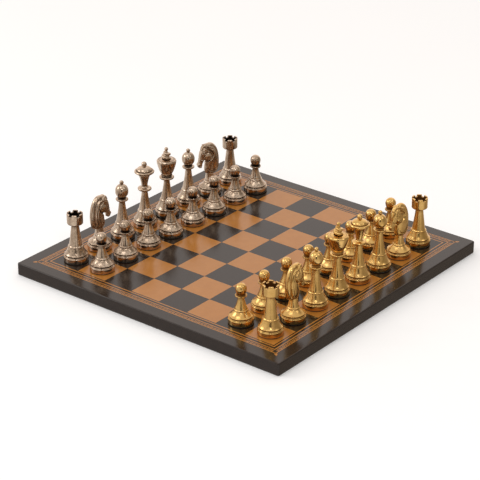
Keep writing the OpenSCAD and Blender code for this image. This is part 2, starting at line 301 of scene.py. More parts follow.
class Mat:
    def __init__(self, name):
        self.m = bpy.data.materials.new(name)
        self.m.use_nodes = True
        self.nt = self.m.node_tree
        self.nt.nodes.clear()
        self.out = self.n("ShaderNodeOutputMaterial")
        self.b = self.n("ShaderNodeBsdfPrincipled")
        self.l(self.b.outputs[0], self.out.inputs["Surface"])

    def n(self, kind, **kw):
        node = self.nt.nodes.new(kind)
        for k, v in kw.items():
            setattr(node, k, v)
        return node

    def l(self, a, b):
        self.nt.links.new(a, b)

    def set(self, **kw):
        for k, v in kw.items():
            self.b.inputs[k.replace("_", " ")].default_value = v

    def coords(self, vary=True):
        tc = self.n("ShaderNodeTexCoord")
        if not vary:
            return tc.outputs["Object"]
        info = self.n("ShaderNodeObjectInfo")
        mul = self.n("ShaderNodeMath", operation="MULTIPLY")
        mul.inputs[1].default_value = 7.31
        self.l(info.outputs["Random"], mul.inputs[0])
        add = self.n("ShaderNodeVectorMath", operation="ADD")
        self.l(tc.outputs["Object"], add.inputs[0])
        self.l(mul.outputs[0], add.inputs[1])
        return add.outputs[0]

    def noise(self, co, scale, detail=3.0, rough=0.55, dist=0.0):
        t = self.n("ShaderNodeTexNoise")
        t.inputs["Scale"].default_value = scale
        t.inputs["Detail"].default_value = detail
        t.inputs["Roughness"].default_value = rough
        t.inputs["Distortion"].default_value = dist
        self.l(co, t.inputs["Vector"])
        return t.outputs["Fac"]

    def voronoi(self, co, scale, feature="F1", rand=1.0, out="Distance"):
        t = self.n("ShaderNodeTexVoronoi", feature=feature)
        t.inputs["Scale"].default_value = scale
        t.inputs["Randomness"].default_value = rand
        self.l(co, t.inputs["Vector"])
        return t.outputs[out]

    def ramp(self, fac, stops):
        r = self.n("ShaderNodeValToRGB")
        e = r.color_ramp.elements
        while len(e) < len(stops):
            e.new(0.5)
        for el, (p, c) in zip(e, stops):
            el.position = p
            el.color = (c, c, c, 1) if isinstance(c, (int, float)) else (*c, 1)
        self.l(fac, r.inputs[0])
        return r.outputs[0]

    def rng(self, fac, a, b, lo=0.0, hi=1.0):
        r = self.n("ShaderNodeMapRange")
        r.inputs["From Min"].default_value = lo
        r.inputs["From Max"].default_value = hi
        r.inputs["To Min"].default_value = a
        r.inputs["To Max"].default_value = b
        self.l(fac, r.inputs["Value"])
        return r.outputs[0]

    def mix(self, fac, a, b, blend="MIX"):
        m = self.n("ShaderNodeMix", data_type="RGBA", blend_type=blend)
        if isinstance(fac, (int, float)):
            m.inputs[0].default_value = fac
        else:
            self.l(fac, m.inputs[0])
        for v, i in ((a, 6), (b, 7)):
            if isinstance(v, tuple):
                m.inputs[i].default_value = (*v, 1)
            else:
                self.l(v, m.inputs[i])
        return m.outputs[2]

    def math(self, op, a, b=None, clamp=False):
        m = self.n("ShaderNodeMath", operation=op)
        m.use_clamp = clamp
        for v, i in ((a, 0), (b, 1)):
            if v is None:
                continue
            if isinstance(v, (int, float)):
                m.inputs[i].default_value = v
            else:
                self.l(v, m.inputs[i])
        return m.outputs[0]

    def attr(self, name):
        a = self.n("ShaderNodeAttribute", attribute_name=name)
        return a.outputs["Fac"]

    def bump(self, h, dist, strength=1.0, prev=None):
        b = self.n("ShaderNodeBump")
        b.inputs["Distance"].default_value = dist
        b.inputs["Strength"].default_value = strength
        self.l(h, b.inputs["Height"])
        if prev is not None:
            self.l(prev, b.inputs["Normal"])
        return b.outputs[0]


def metal(name, light, deep, patina_shade_color, rough, mottle, patina_shade_gain, hammer):
    """Cast and hand-polished metal: slow unevenness, mottling where it was tumbled, patina and painted shade darkening
    the grooves and hollows.
    """
    t = Mat(name)
    co = t.coords()
    big = t.noise(co, 90, 3, 0.6)
    mid = t.noise(co, 560, 4, 0.62, 0.4)
    pit = t.noise(co, 1250, 3, 0.6)
    fine = t.noise(co, 2200, 2, 0.5)
    work = t.attr("work")
    cav = t.attr("cav")
    tone = t.mix(t.rng(big, 0, 1, 0.32, 0.68), light, deep)
    stain = t.math("MULTIPLY", t.rng(mid, 0.0, 1.0, 0.44, 0.70), t.math("MULTIPLY", work, mottle), True)
    spots = t.math("MULTIPLY", t.rng(pit, 0.0, 1.0, 0.58, 0.72), t.math("MULTIPLY", work, mottle * 0.8), True)
    # painted shade and patina: the cavity mask pulls grooves and hollows towards the dark patina colour, on top of the
    # stains and pits
    stain_and_shade = t.math("ADD", t.math("MULTIPLY", cav, patina_shade_gain), t.math("ADD", stain, spots), True)
    t.l(t.mix(stain_and_shade, tone, patina_shade_color), t.b.inputs["Base Color"])
    t.set(Metallic=1.0)
    r = t.math("ADD", t.rng(pit, rough, rough + 0.10, 0.3, 0.7), t.math("MULTIPLY", work, 0.06))
    t.l(t.math("ADD", r, t.math("MULTIPLY", cav, 0.25)), t.b.inputs["Roughness"])
    h1 = t.bump(big, 0.00030, 0.6)
    h2 = t.bump(t.math("MULTIPLY", mid, work), 0.00030, hammer, h1)
    h3 = t.bump(t.math("MULTIPLY", pit, work), 0.00012, hammer, h2)
    h4 = t.bump(fine, 0.00002, 0.4, h3)
    t.l(h4, t.b.inputs["Normal"])
    return t.m


# The third colour is patina and painted shade: the dark colour the cavity mask lays into grooves and hollows.
GOLD = metal("gold_metal", (0.78, 0.490, 0.180), (0.63, 0.38, 0.118), (0.13, 0.042, 0.008), 0.10, 0.14, 0.78, 0.28)
SILVER = metal("silver_metal", (0.68, 0.535, 0.415), (0.42, 0.305, 0.215), (0.026, 0.014, 0.008), 0.085, 0.62, 0.98, 0.42)


def felt_mat(name, c1, c2):
    t = Mat(name)
    co = t.coords()
    f = t.noise(co, 2600, 4, 0.7, 0.4)
    g = t.noise(co, 320, 2, 0.5)
    t.l(t.mix(t.rng(f, 0, 1, 0.3, 0.7), c1, c2), t.b.inputs["Base Color"])
    t.l(t.rng(g, 0.9, 1.0, 0.3, 0.7), t.b.inputs["Roughness"])
    t.set(Sheen_Weight=0.35, Sheen_Roughness=0.5)
    t.l(t.bump(f, 0.00018, 0.9), t.b.inputs["Normal"])
    return t.m


FELT = felt_mat("felt", (0.010, 0.013, 0.011), (0.034, 0.040, 0.034))
LINING = felt_mat("lining", (0.012, 0.012, 0.013), (0.032, 0.032, 0.035))


def leather_mat(name, c1, c2, rough, grain, spec):
    """Leatherette: shallow pebble grain, fine pores and slow waves in the gloss."""
    t = Mat(name)
    co = t.coords(False)
    cells = t.voronoi(co, 900, "SMOOTH_F1")
    pores = t.noise(co, 1700, 2, 0.6)
    slow = t.noise(co, 17, 3, 0.55, 0.4)
    mid = t.noise(co, 120, 4, 0.6)
    t.l(t.mix(t.rng(mid, 0, 1, 0.35, 0.65), c1, c2), t.b.inputs["Base Color"])
    t.set(Specular_IOR_Level=spec)
    t.l(t.math("ADD", t.rng(mid, rough - 0.02, rough + 0.035, 0.3, 0.7), t.rng(slow, -0.02, 0.03, 0.3, 0.7)),
        t.b.inputs["Roughness"])
    mp = t.n("ShaderNodeMapping")
    mp.inputs["Scale"].default_value = (70, 620, 620)
    t.l(co, mp.inputs["Vector"])
    streak = t.noise(mp.outputs[0], 1.0, 3, 0.6, 0.6)
    h1 = t.bump(streak, 0.00006, 0.22, t.bump(slow, 0.0006, 0.10))
    h2 = t.bump(cells, 0.00004, grain, h1)
    h3 = t.bump(pores, 0.00001, grain, h2)
    t.l(h3, t.b.inputs["Normal"])
    return t.m


LEATHER = leather_mat("leatherette", (0.0150, 0.0078, 0.0050), (0.0200, 0.0110, 0.0072), 0.155, 0.18, 0.40)
PRINT = leather_mat("gold_print", (0.455, 0.178, 0.030), (0.430, 0.165, 0.027), 0.172, 0.16, 0.45)

t = Mat("panel")
co = t.coords(False)
wn = t.noise(co, 900, 4, 0.7)
t.l(t.mix(wn, (0.30, 0.20, 0.11), (0.42, 0.30, 0.18)), t.b.inputs["Base Color"])
t.set(Roughness=0.8)
t.l(t.bump(wn, 0.0001, 0.5), t.b.inputs["Normal"])
PANEL = t.m

# ---------------------------------------------------------------- the men, turned profiles [radius, height]
FT = 0.8
FOOT = [(0, FT), (12.95, FT), (13.3, FT + 0.35), (13.3, 5.6), (13.15, 6.0), (12.85, 6.2), (12.8, 7.0), (12.5, 7.25),
        (11.8, 7.4), (11.8, 8.0), (12.2, 8.2), (12.45, 8.5), (12.4, 8.85)]


def bell(rr, rz):
    k = (rz - 10.25) / 7
    p1 = (rr + 0.1, rz - 1.2)
    c = (12.2 + 0.42 * (p1[0] - 12.2) - 0.45 * k, 9.05 + 0.42 * (p1[1] - 9.05) - 1.0 * k)
    return bend((12.2, 9.05), c, p1, 10) + [(rr - 0.15, rz - 0.75)] + arc(rr - 0.6, rz, 0.65, -55, 75, 6)


P_PAWN = (FOOT + bell(7.4, 14.9) + [(6.55, 16.0)] + bend((6.1, 17.6), (4.2, 22.0), (3.35, 28.2), 10)
          + [(3.5, 29.0), (5.3, 29.3), (6.05, 29.8), (6.15, 30.6), (5.9, 31.2), (5.2, 31.0), (4.3, 31.0), (4.1, 31.8)]
          + bend((4.25, 32.5), (5.15, 33.9), (5.5, 35.7), 5) + arc(0, 37.95, 5.83, -14, 90, 22))
P_ROOK = (FOOT + bell(8.3, 17.2) + [(7.35, 18.4), (7.0, 19.0)] + bend((6.95, 19.6), (5.5, 29.0), (4.25, 40.2), 10)
          + [(4.1, 40.9), (4.7, 41.5), (8.35, 43.5), (8.6, 44.0), (8.7, 54.6), (8.45, 55.0), (6.9, 55.0), (6.6, 54.7),
             (5.6, 47.2), (5.3, 47.0), (0, 47.0)])
P_BISHOP = (FOOT + bell(8.05, 17.2) + [(7.2, 18.4), (6.9, 19.0)] + bend((6.85, 19.7), (4.7, 28.0), (3.4, 41.2), 10)
            + [(3.5, 42.4), (5.2, 43.0), (6.5, 43.8), (6.85, 44.6), (6.75, 45.4), (6.1, 45.8), (4.9, 45.9), (4.3, 46.4),
               (4.2, 47.6), (4.9, 48.3)]
            + bend((5.3, 48.8), (7.5, 50.8), (7.1, 55.2), 10) + bend((7.05, 56.2), (6.2, 60.4), (2.0, 62.3), 12)
            + [(1.5, 62.6), (1.45, 63.0)] + arc(0, 64.3, 2.3, -48, 90, 14))
P_QUEEN = (FOOT + bell(8.0, 18.3) + [(7.1, 19.5), (6.8, 20.2)] + bend((6.75, 20.8), (4.6, 28.0), (3.35, 41.0), 10)
           + [(3.5, 42.0), (5.6, 42.5), (7.3, 43.2), (7.65, 44.0), (7.65, 44.7), (7.2, 45.4), (5.2, 45.9), (4.2, 46.2),
              (3.6, 46.9), (3.35, 48.2)]
           + bend((3.4, 49.2), (4.1, 54.0), (5.9, 59.4), 8)
           + [(6.3, 60.6), (7.4, 61.2), (8.0, 61.9), (8.6, 62.6), (10.2, 63.2), (10.9, 63.9), (10.95, 64.9), (10.4, 65.6),
              (9.6, 65.95), (8.95, 65.8), (8.6, 65.25), (8.45, 65.9), (8.55, 66.4)]
           + bend((8.45, 66.9), (7.3, 69.1), (3.4, 70.4), 8)
           + [(2.4, 70.8), (2.1, 71.3), (2.2, 71.7)] + arc(0, 73.05, 2.95, -38, 90, 14))
P_KING = (FOOT + bell(8.0, 18.3) + [(7.1, 19.5), (6.8, 20.2)] + bend((6.75, 20.8), (4.6, 28.0), (3.25, 41.0), 10)
          + [(3.5, 42.6), (6.2, 43.2), (7.9, 44.0), (8.25, 44.9), (8.1, 45.7), (7.4, 46.2), (5.6, 46.4), (5.2, 46.9), (5.3, 47.3),
             (6.1, 47.6), (6.2, 48.2), (5.7, 48.6), (6.0, 49.3)]
          + bend((6.4, 50.2), (8.3, 53.4), (9.3, 57.0), 8)
          + [(10.2, 60.2), (10.9, 63.4), (10.95, 64.4), (10.6, 65.4), (9.9, 66.1), (9.3, 66.35), (8.8, 66.2), (7.0, 66.45),
             (5.4, 66.8), (5.0, 66.7), (4.8, 66.3), (4.7, 60.2), (4.4, 60.0), (0, 60.0)])
P_KNIGHT = (FOOT + bend((12.2, 9.05), (9.7, 10.25), (6.9, 13.2), 10) + [(6.55, 13.7)] + arc(6.1, 14.4, 0.65, -55, 70, 6)
            + [(5.75, 15.6)] + bend((5.6, 16.4), (4.5, 20.0), (4.2, 25.2), 8) + [(3.6, 25.7), (2.4, 25.8), (2.4, 31.0), (0, 31.0)])


def wobble(seed, amp=0.022):
    """Slight unevenness of a casting that was polished by hand."""
    off = Vector((seed * 13.7, seed * 5.1, seed * 9.3))

    def fn(r, z, a):
        p = Vector((r * math.cos(a), r * math.sin(a), z))
        v = noise.noise(p * 0.16 + off) * amp * 1.6 + noise.noise(p * 0.55 + off) * amp
        if 7.6 < z < 17.5:   # the bell keeps more of the file and hammer marks
            v += noise.noise(p * 1.15 + off) * amp * 0.5
        if z < 7.2:
            v *= 0.4
        return max(0.02, r + v), z
    return fn


def turned_mesh(name, profile, seg=72, soft=0.16, step=0.9, seed=1, extra=None, cav_gain=5200):
    pts = densify(soften(profile, soft), step)
    w = wobble(seed)

    def fn(r, z, a):
        if extra:
            r, z = extra(r, z, a)
        return w(r, z, a)
    verts, faces = lathe(pts, seg, fn)
    me = bpy.data.meshes.new(name)
    me.from_pydata([(x * MM, y * MM, z * MM) for x, y, z in verts], [], faces)
    me.update()
    me.polygons.foreach_set("use_smooth", [True] * len(me.polygons))
    return me


def groove_depths(profile, reach=3.0):
    """How deep each profile point lies between wider parts above and below it."""
    p = np.array(profile)
    out = []
    for r, z in p:
        up = p[(p[:, 1] > z + 0.05) & (p[:, 1] <= z + reach), 0]
        dn = p[(p[:, 1] < z - 0.05) & (p[:, 1] >= z - reach), 0]
        out.append(min(up.max(), dn.max()) - r if len(up) and len(dn) else 0.0)
    return np.clip(np.array(out), 0, None)


def finish_metal(me, cav_gain=5200, rounds=8, work=None, profile=None, darker=()):
    # painted shade and patina: darkening from the mesh's own hollows, its turned grooves and the listed darker zones
    cav = laplace_cavity(me, cav_gain, rounds)
    n = len(me.vertices)
    co = np.zeros(n * 3)
    me.vertices.foreach_get("co", co)
    co = co.reshape(-1, 3) / MM
    r, z = np.hypot(co[:, 0], co[:, 1]), co[:, 2]
    if profile is not None:
        p = np.array(densify(soften(profile, 0.28), 0.6))
        d = groove_depths(p)
        best = np.full(n, 1e9)
        val = np.zeros(n)
        for (pr, pz), dv in zip(p, d):
            dist = (r - pr) ** 2 + (z - pz) ** 2
            near = dist < best
            best[near] = dist[near]
            val[near] = dv
        s_ = np.clip(val / 1.15, 0, 1)
        groove = s_ * s_ * (3 - 2 * s_)
        groove[(z > 11.5) & (z < 21)] *= 0.45      # less patina and painted shade round the bell's ring
        cav = np.maximum(cav * np.where((z > 11.5) & (z < 21), 0.5, 1.0), groove)
    # painted shade: each darker zone is darkened at least to its value v
    for r0, r1, z0, z1, v in darker:
        inside = (r > r0) & (r < r1) & (z > z0) & (z < z1)
        cav[inside] = np.maximum(cav[inside], v)
    if work is None:
        work = np.where((z > 7.3) & (z < 17.8), 1.0, np.where(z < 7.3, 0.12, 0.40))
    attr(me, "cav", cav)
    attr(me, "work", work)
    return me


def queen_flutes(r, z, a):
    """Small gadroons under the queen's coronet."""
    if 60.2 < z < 62.8 and r < 9.2:
        k = math.sin(math.pi * (z - 60.2) / 2.6)
        r += 0.34 * k * abs(math.cos(13 * a)) - 0.12 * k
    return r, z


ME = {}
GROOVE = (0, 12.15, 7.2, 8.3, 1.0)     # patina and painted shade in the groove under the bell
# The darker zones paint shade: on the pawn's neck under the ball, in the queen's groove inside her rim, down the hole
# in the king's cup.
ME["pawn"] = finish_metal(turned_mesh("pawn", P_PAWN, seed=1), profile=P_PAWN, darker=[GROOVE, (0, 5.6, 30.9, 33.6, 1.0), (0, 5.9, 33.6, 34.8, 0.55)])
ME["bishop"] = finish_metal(turned_mesh("bishop", P_BISHOP, seed=2), profile=P_BISHOP, darker=[GROOVE])
ME["queen"] = finish_metal(turned_mesh("queen", P_QUEEN, seg=104, seed=3, extra=queen_flutes), profile=P_QUEEN, darker=[GROOVE, (8.0, 9.1, 65.0, 66.0, 0.9)])
ME["king"] = finish_metal(turned_mesh("king", P_KING, seed=4), profile=P_KING, darker=[GROOVE, (0, 4.78, 59, 66.2, 1.0)])
ME["knight"] = finish_metal(turned_mesh("knight", P_KNIGHT, seed=5), profile=P_KNIGHT, darker=[GROOVE])


def rook_mesh():
    """The crown's notches are cut with round-bottomed cutters."""
    me = turned_mesh("rook", P_ROOK, seg=120, seed=6)
    o = bpy.data.objects.new("tmp_rook", me)
    SC.collection.objects.link(o)
    bm = bmesh.new()
    for i in range(6):
        a = math.radians(38.4 + (i + 0.5) * 60)
        n = 12
        prof = [(-1.75, 57.0)] + [(1.75 * -math.cos(math.pi * k / n), 53.6 - 1.1 * math.sin(math.pi * k / n)) for k in range(n + 1)] + [(1.75, 57.0)]
        ring = []
        for d in (4.0, 12.0):
            ring.append([bm.verts.new(((d * math.cos(a) - u * math.sin(a)) * MM, (d * math.sin(a) + u * math.cos(a)) * MM, z * MM)) for u, z in prof])
        m = len(prof)
        for k in range(m):
            k2 = (k + 1) % m
            bm.faces.new((ring[0][k], ring[0][k2], ring[1][k2], ring[1][k]))
        bm.faces.new(ring[0][::-1])
        bm.faces.new(ring[1])
    bmesh.ops.recalc_face_normals(bm, faces=bm.faces)
    cut = bpy.data.meshes.new("tmp_cut")
    bm.to_mesh(cut)
    bm.free()
    c = bpy.data.objects.new("tmp_cut", cut)
    SC.collection.objects.link(c)
    md = o.modifiers.new("notch", "BOOLEAN")
    md.operation = "DIFFERENCE"
    md.object = c
    md.solver = "EXACT"
    dg = bpy.context.evaluated_depsgraph_get()
    new = bpy.data.meshes.new_from_object(o.evaluated_get(dg))
    bpy.data.objects.remove(o)
    bpy.data.objects.remove(c)
    # soften the cut edges
    bm = bmesh.new()
    bm.from_mesh(new)
    edges = []
    for e in bm.edges:
        if len(e.link_faces) == 2 and min(v.co.z for v in e.verts) > 51.0 * MM and e.calc_face_angle(0) > math.radians(40):
            edges.append(e)
    try:
        bmesh.ops.bevel(bm, geom=edges, offset=0.22 * MM, segments=3, profile=0.5, affect="EDGES", clamp_overlap=True)
    except Exception:
        pass
    bm.to_mesh(new)
    bm.free()
    new.name = "rook"
    for p in new.polygons:
        p.use_smooth = True
    return new


# The darker zones paint shade inside the crown: its floor and inner wall.
ME["rook"] = finish_metal(rook_mesh(), profile=P_ROOK, darker=[GROOVE, (0, 6.2, 46, 53.5, 0.95), (6.0, 6.75, 46, 54.2, 0.7)])

# the felt pad: soft rolled edge, slightly uneven
FELT_R = 12.8
fv, ff = lathe(densify(soften([(0, 0.0), (FELT_R, 0.0), (FELT_R + 0.02, 0.4), (FELT_R - 0.1, FT - 0.01), (0, FT - 0.01)], 0.2), 0.8), 64,
               lambda r, z, a: (r + 0.05 * noise.noise(Vector((math.cos(a) * 3, math.sin(a) * 3, z))), z))
felt_me = bpy.data.meshes.new("felt_pad")
felt_me.from_pydata([(x * MM, y * MM, z * MM) for x, y, z in fv], [], ff)
felt_me.update()
felt_me.polygons.foreach_set("use_smooth", [True] * len(felt_me.polygons))


# the king's finial: a tapering spiral with a ball on top
def finial_mesh():
    verts, faces = [], []

    def tube(path, radii, seg=20, squash=1.0):
        rows = []
        for i, (p, r) in enumerate(zip(path, radii)):
            a = path[max(0, i - 1)]
            b = path[min(len(path) - 1, i + 1)]
            tdir = (Vector(b) - Vector(a)).normalized()
            out = Vector((p[0], p[1], 0))
            out = out.normalized() if out.length > 1e-6 else Vector((1, 0, 0))
            u = (out - tdir * out.dot(tdir)).normalized()
            w = tdir.cross(u)
            row = []
            for k in range(seg):
                t_ = 2 * math.pi * k / seg
                q = Vector(p) + u * (r * math.cos(t_)) + w * (r * squash * math.sin(t_))
                row.append(len(verts))
                verts.append(tuple(q))
            rows.append(row)
        for a, b in zip(rows, rows[1:]):
            for k in range(seg):
                k2 = (k + 1) % seg
                faces.append((a[k], a[k2], b[k2], b[k]))
        faces.append(tuple(rows[0][::-1]))
        faces.append(tuple(rows[-1]))
    n = 190
    path, rad = [], []
    for i in range(n + 1):
        z = 66.3 + 9.5 * i / n
        ang = math.radians(128.5 + 360 * (74.7 - z) / 4.6)
        tr = float(np.interp(z, (66.3, 70, 73, 75.8), (1.75, 1.75, 1.45, 1.0)))
        R = float(np.interp(z, (66.3, 67.5, 70, 72, 74.7, 75.8), (4.2, 4.9, 5.4, 5.2, 3.4, 2.2))) - tr
        path.append((R * math.cos(ang), R * math.sin(ang), z))
        rad.append(tr)
    tube(path, rad)
    # core that the coil winds round
    cv, cf = lathe(densify([(0, 60.0), (2.9, 60.0), (2.9, 66.0), (3.3, 68.0), (3.5, 70.5), (2.6, 73.0), (1.6, 75.4), (1.25, 76.6), (1.45, 77.1)]
                           + arc(0, 78.45, 2.15, -45, 90, 14), 0.5), 40)
    base = len(verts)
    verts.extend(cv)
    faces.extend([tuple(i + base for i in f) for f in cf])
    me = bpy.data.meshes.new("tmp_fin")
    me.from_pydata([(x * MM, y * MM, z * MM) for x, y, z in verts], [], faces)
    me.update()
    return remesh(me, "finial", 0.17, 3)


def remesh(me, name, voxel, smooth_rounds):
    bm = bmesh.new()
    bm.from_mesh(me)
    bmesh.ops.recalc_face_normals(bm, faces=bm.faces)
    bm.to_mesh(me)
    bm.free()
    o = bpy.data.objects.new("tmp_" + name, me)
    SC.collection.objects.link(o)
    md = o.modifiers.new("r", "REMESH")
    md.mode = "VOXEL"
    md.voxel_size = voxel * MM
    md.use_smooth_shade = True
    sm = o.modifiers.new("s", "SMOOTH")
    sm.factor = 0.5
    sm.iterations = smooth_rounds
    dg = bpy.context.evaluated_depsgraph_get()
    new = bpy.data.meshes.new_from_object(o.evaluated_get(dg))
    bpy.data.objects.remove(o)
    new.name = name
    for p in new.polygons:
        p.use_smooth = True
    return new


ME["finial"] = finial_mesh()
# painted shade and patina in the finial's coils, from its cavity mask
finish_metal(ME["finial"], 9000, 6, np.full(len(ME["finial"].vertices), 0.3))


# ---------------------------------------------------------------- the horse's head
def ring(cx, cz, a, b, tilt, n, power=2.0, y0=0.0):
    out = []
    ct, st = math.cos(math.radians(tilt)), math.sin(math.radians(tilt))
    for i in range(n):
        w = 2 * math.pi * i / n
        c, s = math.cos(w), math.sin(w)
        u = a * math.copysign(abs(c) ** (2 / power), c)
        v = b * math.copysign(abs(s) ** (2 / power), s)
        out.append((cx + u * ct, y0 + v, cz + u * st))
    return out


def loft(rings):
    n = len(rings[0])
    verts = [p for r in rings for p in r]
    faces = [tuple(range(n))[::-1], tuple((len(rings) - 1) * n + i for i in range(n))]
    for j in range(len(rings) - 1):
        for i in range(n):
            k = (i + 1) % n
            faces.append((j * n + i, j * n + k, (j + 1) * n + k, (j + 1) * n + i))
    return verts, faces


def spline(keys, n):
    """Catmull-Rom through rows of numbers."""
    k = np.array(keys, float)
    out = []
    for i in range(len(k) - 1):
        p0, p1, p2, p3 = k[max(0, i - 1)], k[i], k[i + 1], k[min(len(k) - 1, i + 2)]
        for s in range(n):
            t_ = s / n
            out.append(0.5 * (2 * p1 + (p2 - p0) * t_ + (2 * p0 - 5 * p1 + 4 * p2 - p3) * t_ ** 2 + (3 * p1 - p0 - 3 * p2 + p3) * t_ ** 3))
    out.append(k[-1])
    return out


NECK = [(25.2, -6.4, 4.6, 4.1), (26.2, -9.0, 5.8, 4.7), (28.5, -10.5, 6.6, 5.0), (32, -11.6, 6.7, 5.1),
        (36, -12.0, 6.3, 5.1), (41, -12.0, 6.0, 5.0), (46, -11.5, 6.2, 4.9), (50.5, -10.5, 7.2, 4.7),
        (54.5, -8.9, 8.0, 4.3), (58, -6.6, 7.4, 3.7), (60.3, -4.2, 5.6, 2.8), (61.4, -1.8, 3.6, 1.4)]
FACE = [(12.8, 34.0, 1.5, 1.7, 2), (13.1, 35.0, 2.5, 2.6, 4), (13.1, 37.2, 3.0, 3.0, 8), (12.2, 40.0, 3.0, 2.8, 14),
        (10.9, 43.4, 3.5, 3.2, 20), (9.3, 47.4, 4.5, 3.9, 22), (7.7, 51.4, 4.9, 4.2, 28), (5.8, 54.6, 4.3, 4.0, 38),
        (3.8, 56.6, 2.6, 3.2, 42)]


def horse_mesh():
    """The forms are laid up roughly, fused into one skin, and the hair and harness are then chased into it."""
    V, F = [], []

    def add(vf):
        base = len(V)
        V.extend(vf[0])
        F.extend([tuple(i + base for i in f) for f in vf[1]])

    def leaf(path, radii, seg=14, flat=1.0):
        rings = []
        for i, (p, r) in enumerate(zip(path, radii)):
            a, b = Vector(path[max(0, i - 1)]), Vector(path[min(len(path) - 1, i + 1)])
            td = (b - a).normalized()
            u = Vector((0, 1, 0))
            u = (u - td * u.dot(td)).normalized()
            w = td.cross(u)
            rings.append([tuple(Vector(p) + u * (r * flat * math.cos(2 * math.pi * k / seg)) + w * (r * math.sin(2 * math.pi * k / seg))) for k in range(seg)])
        add(loft(rings))

    def ball(c, r, tilt=0.0, n=16):
        ct, st = math.cos(math.radians(tilt)), math.sin(math.radians(tilt))
        rows = []
        for j in range(1, n):
            ph = -math.pi / 2 + math.pi * j / n
            row = []
            for k in range(20):
                u = r[0] * math.cos(ph) * math.cos(2 * math.pi * k / 20)
                v = r[1] * math.cos(ph) * math.sin(2 * math.pi * k / 20)
                w = r[2] * math.sin(ph)
                row.append((c[0] + u * ct - w * st, c[1] + v, c[2] + u * st + w * ct))
            rows.append(row)
        add(loft(rows))

    add(loft([ring((s[1] + s[2]) / 2, s[0], (s[2] - s[1]) / 2, s[3], 0, 44, 2.2) for s in spline(NECK, 3)]))
    add(loft([ring(s[0], s[1], s[2], s[3], s[4], 36, 2.3) for s in spline(FACE, 4)]))
    for sd in (-1, 1):
        ball((3.9, sd * 2.7, 46.4), (5.6, 2.9, 5.0), -24)          # cheek, running back to the jaw's corner
        ball((8.9, sd * 3.3, 50.0), (2.6, 1.0, 1.5), 30)           # cheek bone
        ball((8.6, sd * 3.45, 53.0), (2.3, 0.95, 0.95), -20)       # brow
        ball((9.2, sd * 3.75, 51.5), (0.95, 0.7, 0.85))            # eye
        ball((14.5, sd * 1.6, 37.8), (1.6, 1.3, 1.7), 20)          # nostril wing
        ball((13.0, sd * 1.3, 34.7), (2.2, 1.4, 1.1), 8)           # lips
        leaf([(-1.6, sd * 3.5, 54.9), (0.4, sd * 3.75, 56.2), (2.8, sd * 3.6, 57.4), (5.2, sd * 3.15, 58.4), (7.4, sd * 2.7, 59.2), (8.9, sd * 2.4, 59.9)],
             [0.5, 1.25, 1.75, 1.7, 1.1, 0.25], 14, 0.72)          # ear, pricked along the poll
    # forelock falling over the brow
    for y, r in ((-1.3, 0.95), (0.0, 1.15), (1.3, 0.95)):
        leaf([(3.6, y * 0.7, 60.2), (6.6, y * 0.95, 60.0), (9.2, y, 58.0), (10.9, y * 0.9, 55.3), (11.6, y * 0.7, 53.2)], [1.0, r * 1.15, r * 1.1, r * 0.85, 0.3], 12)
    me = bpy.data.meshes.new("tmp_horse")
    me.from_pydata([(x * MM, y * MM, z * MM) for x, y, z in V], [], F)
    me.update()
    new = remesh(me, "horse_head", 0.25, 3)

    n = len(new.vertices)
    co = np.zeros(n * 3)
    new.vertices.foreach_get("co", co)
    co = co.reshape(-1, 3) / MM
    no = np.zeros(n * 3)
    new.vertex_normals.foreach_get("vector", no)
    no = no.reshape(-1, 3)
    lift = np.zeros(n)

    def on_skin(path, sd, k=5):
        """Side-view points (forward, height) dropped on to the skin of that side."""
        out = []
        for x, z in [tuple(q) for q in spline(path, k)]:
            d2 = (co[:, 0] - x) ** 2 + (co[:, 2] - z) ** 2
            near = (d2 < 0.36) & (co[:, 1] * sd > 0)
            if not near.any():
                near = d2 == d2[co[:, 1] * sd > 0].min()
            i = np.argmax(np.where(near, co[:, 1] * sd, -1e9))
            out.append((x, co[i, 1], z))
        return np.array(out)

    def reach(p):
        best = np.full(n, 1e9)
        sign = np.ones(n)
        along = np.zeros(n)
        m = len(p) - 1
        for i, (a, b) in enumerate(zip(p, p[1:])):
            ab = b - a
            t_ = np.clip(((co - a) @ ab) / max(1e-9, ab @ ab), 0, 1)
            d = np.linalg.norm(co - (a + t_[:, None] * ab), axis=1)
            hit = d < best
            best[hit] = d[hit]
            sign[hit] = np.sign(ab[0] * (co[hit, 2] - a[2]) - ab[2] * (co[hit, 0] - a[0]))
            along[hit] = (i + t_[hit]) / m
        return best, sign, along

    def chase(path, sides, wid, h, k=5, ends=0.12):
        """A raised (h > 0) or sunk line of half width wid, fading out at its ends."""
        for sd in sides:
            d, _, al = reach(on_skin(path, sd, k))
            e = np.clip(np.minimum(al, 1 - al) / ends, 0, 1) if ends else 1.0
            lift[:] += h * np.clip(1 - (d / wid) ** 2, 0, 1) ** 2 * (0.25 + 0.75 * e if ends else 1.0)

    def shelf(path, sides, h, fade, left, k=5):
        """A sheet of hair: stands proud on one side of its edge and dies away over the distance fade."""
        for sd in sides:
            d, sg, al = reach(on_skin(path, sd, k))
            e = np.clip(np.minimum(al, 1 - al) / 0.1, 0, 1)
            up = (sg > 0) if left else (sg < 0)
            soft = np.clip(d / 0.7, 0, 1)
            lift[:] += np.where(up, h * soft * np.clip(1 - d / fade, 0, 1), 0) * e * (co[:, 1] * sd > -0.5)
            lift[:] -= np.where(up, 0, 0.75 * h * np.clip(1 - d / 1.5, 0, 1) ** 2) * e * (co[:, 1] * sd > -0.5)

    both, off_side, near_side = (-1, 1), (-1,), (1,)
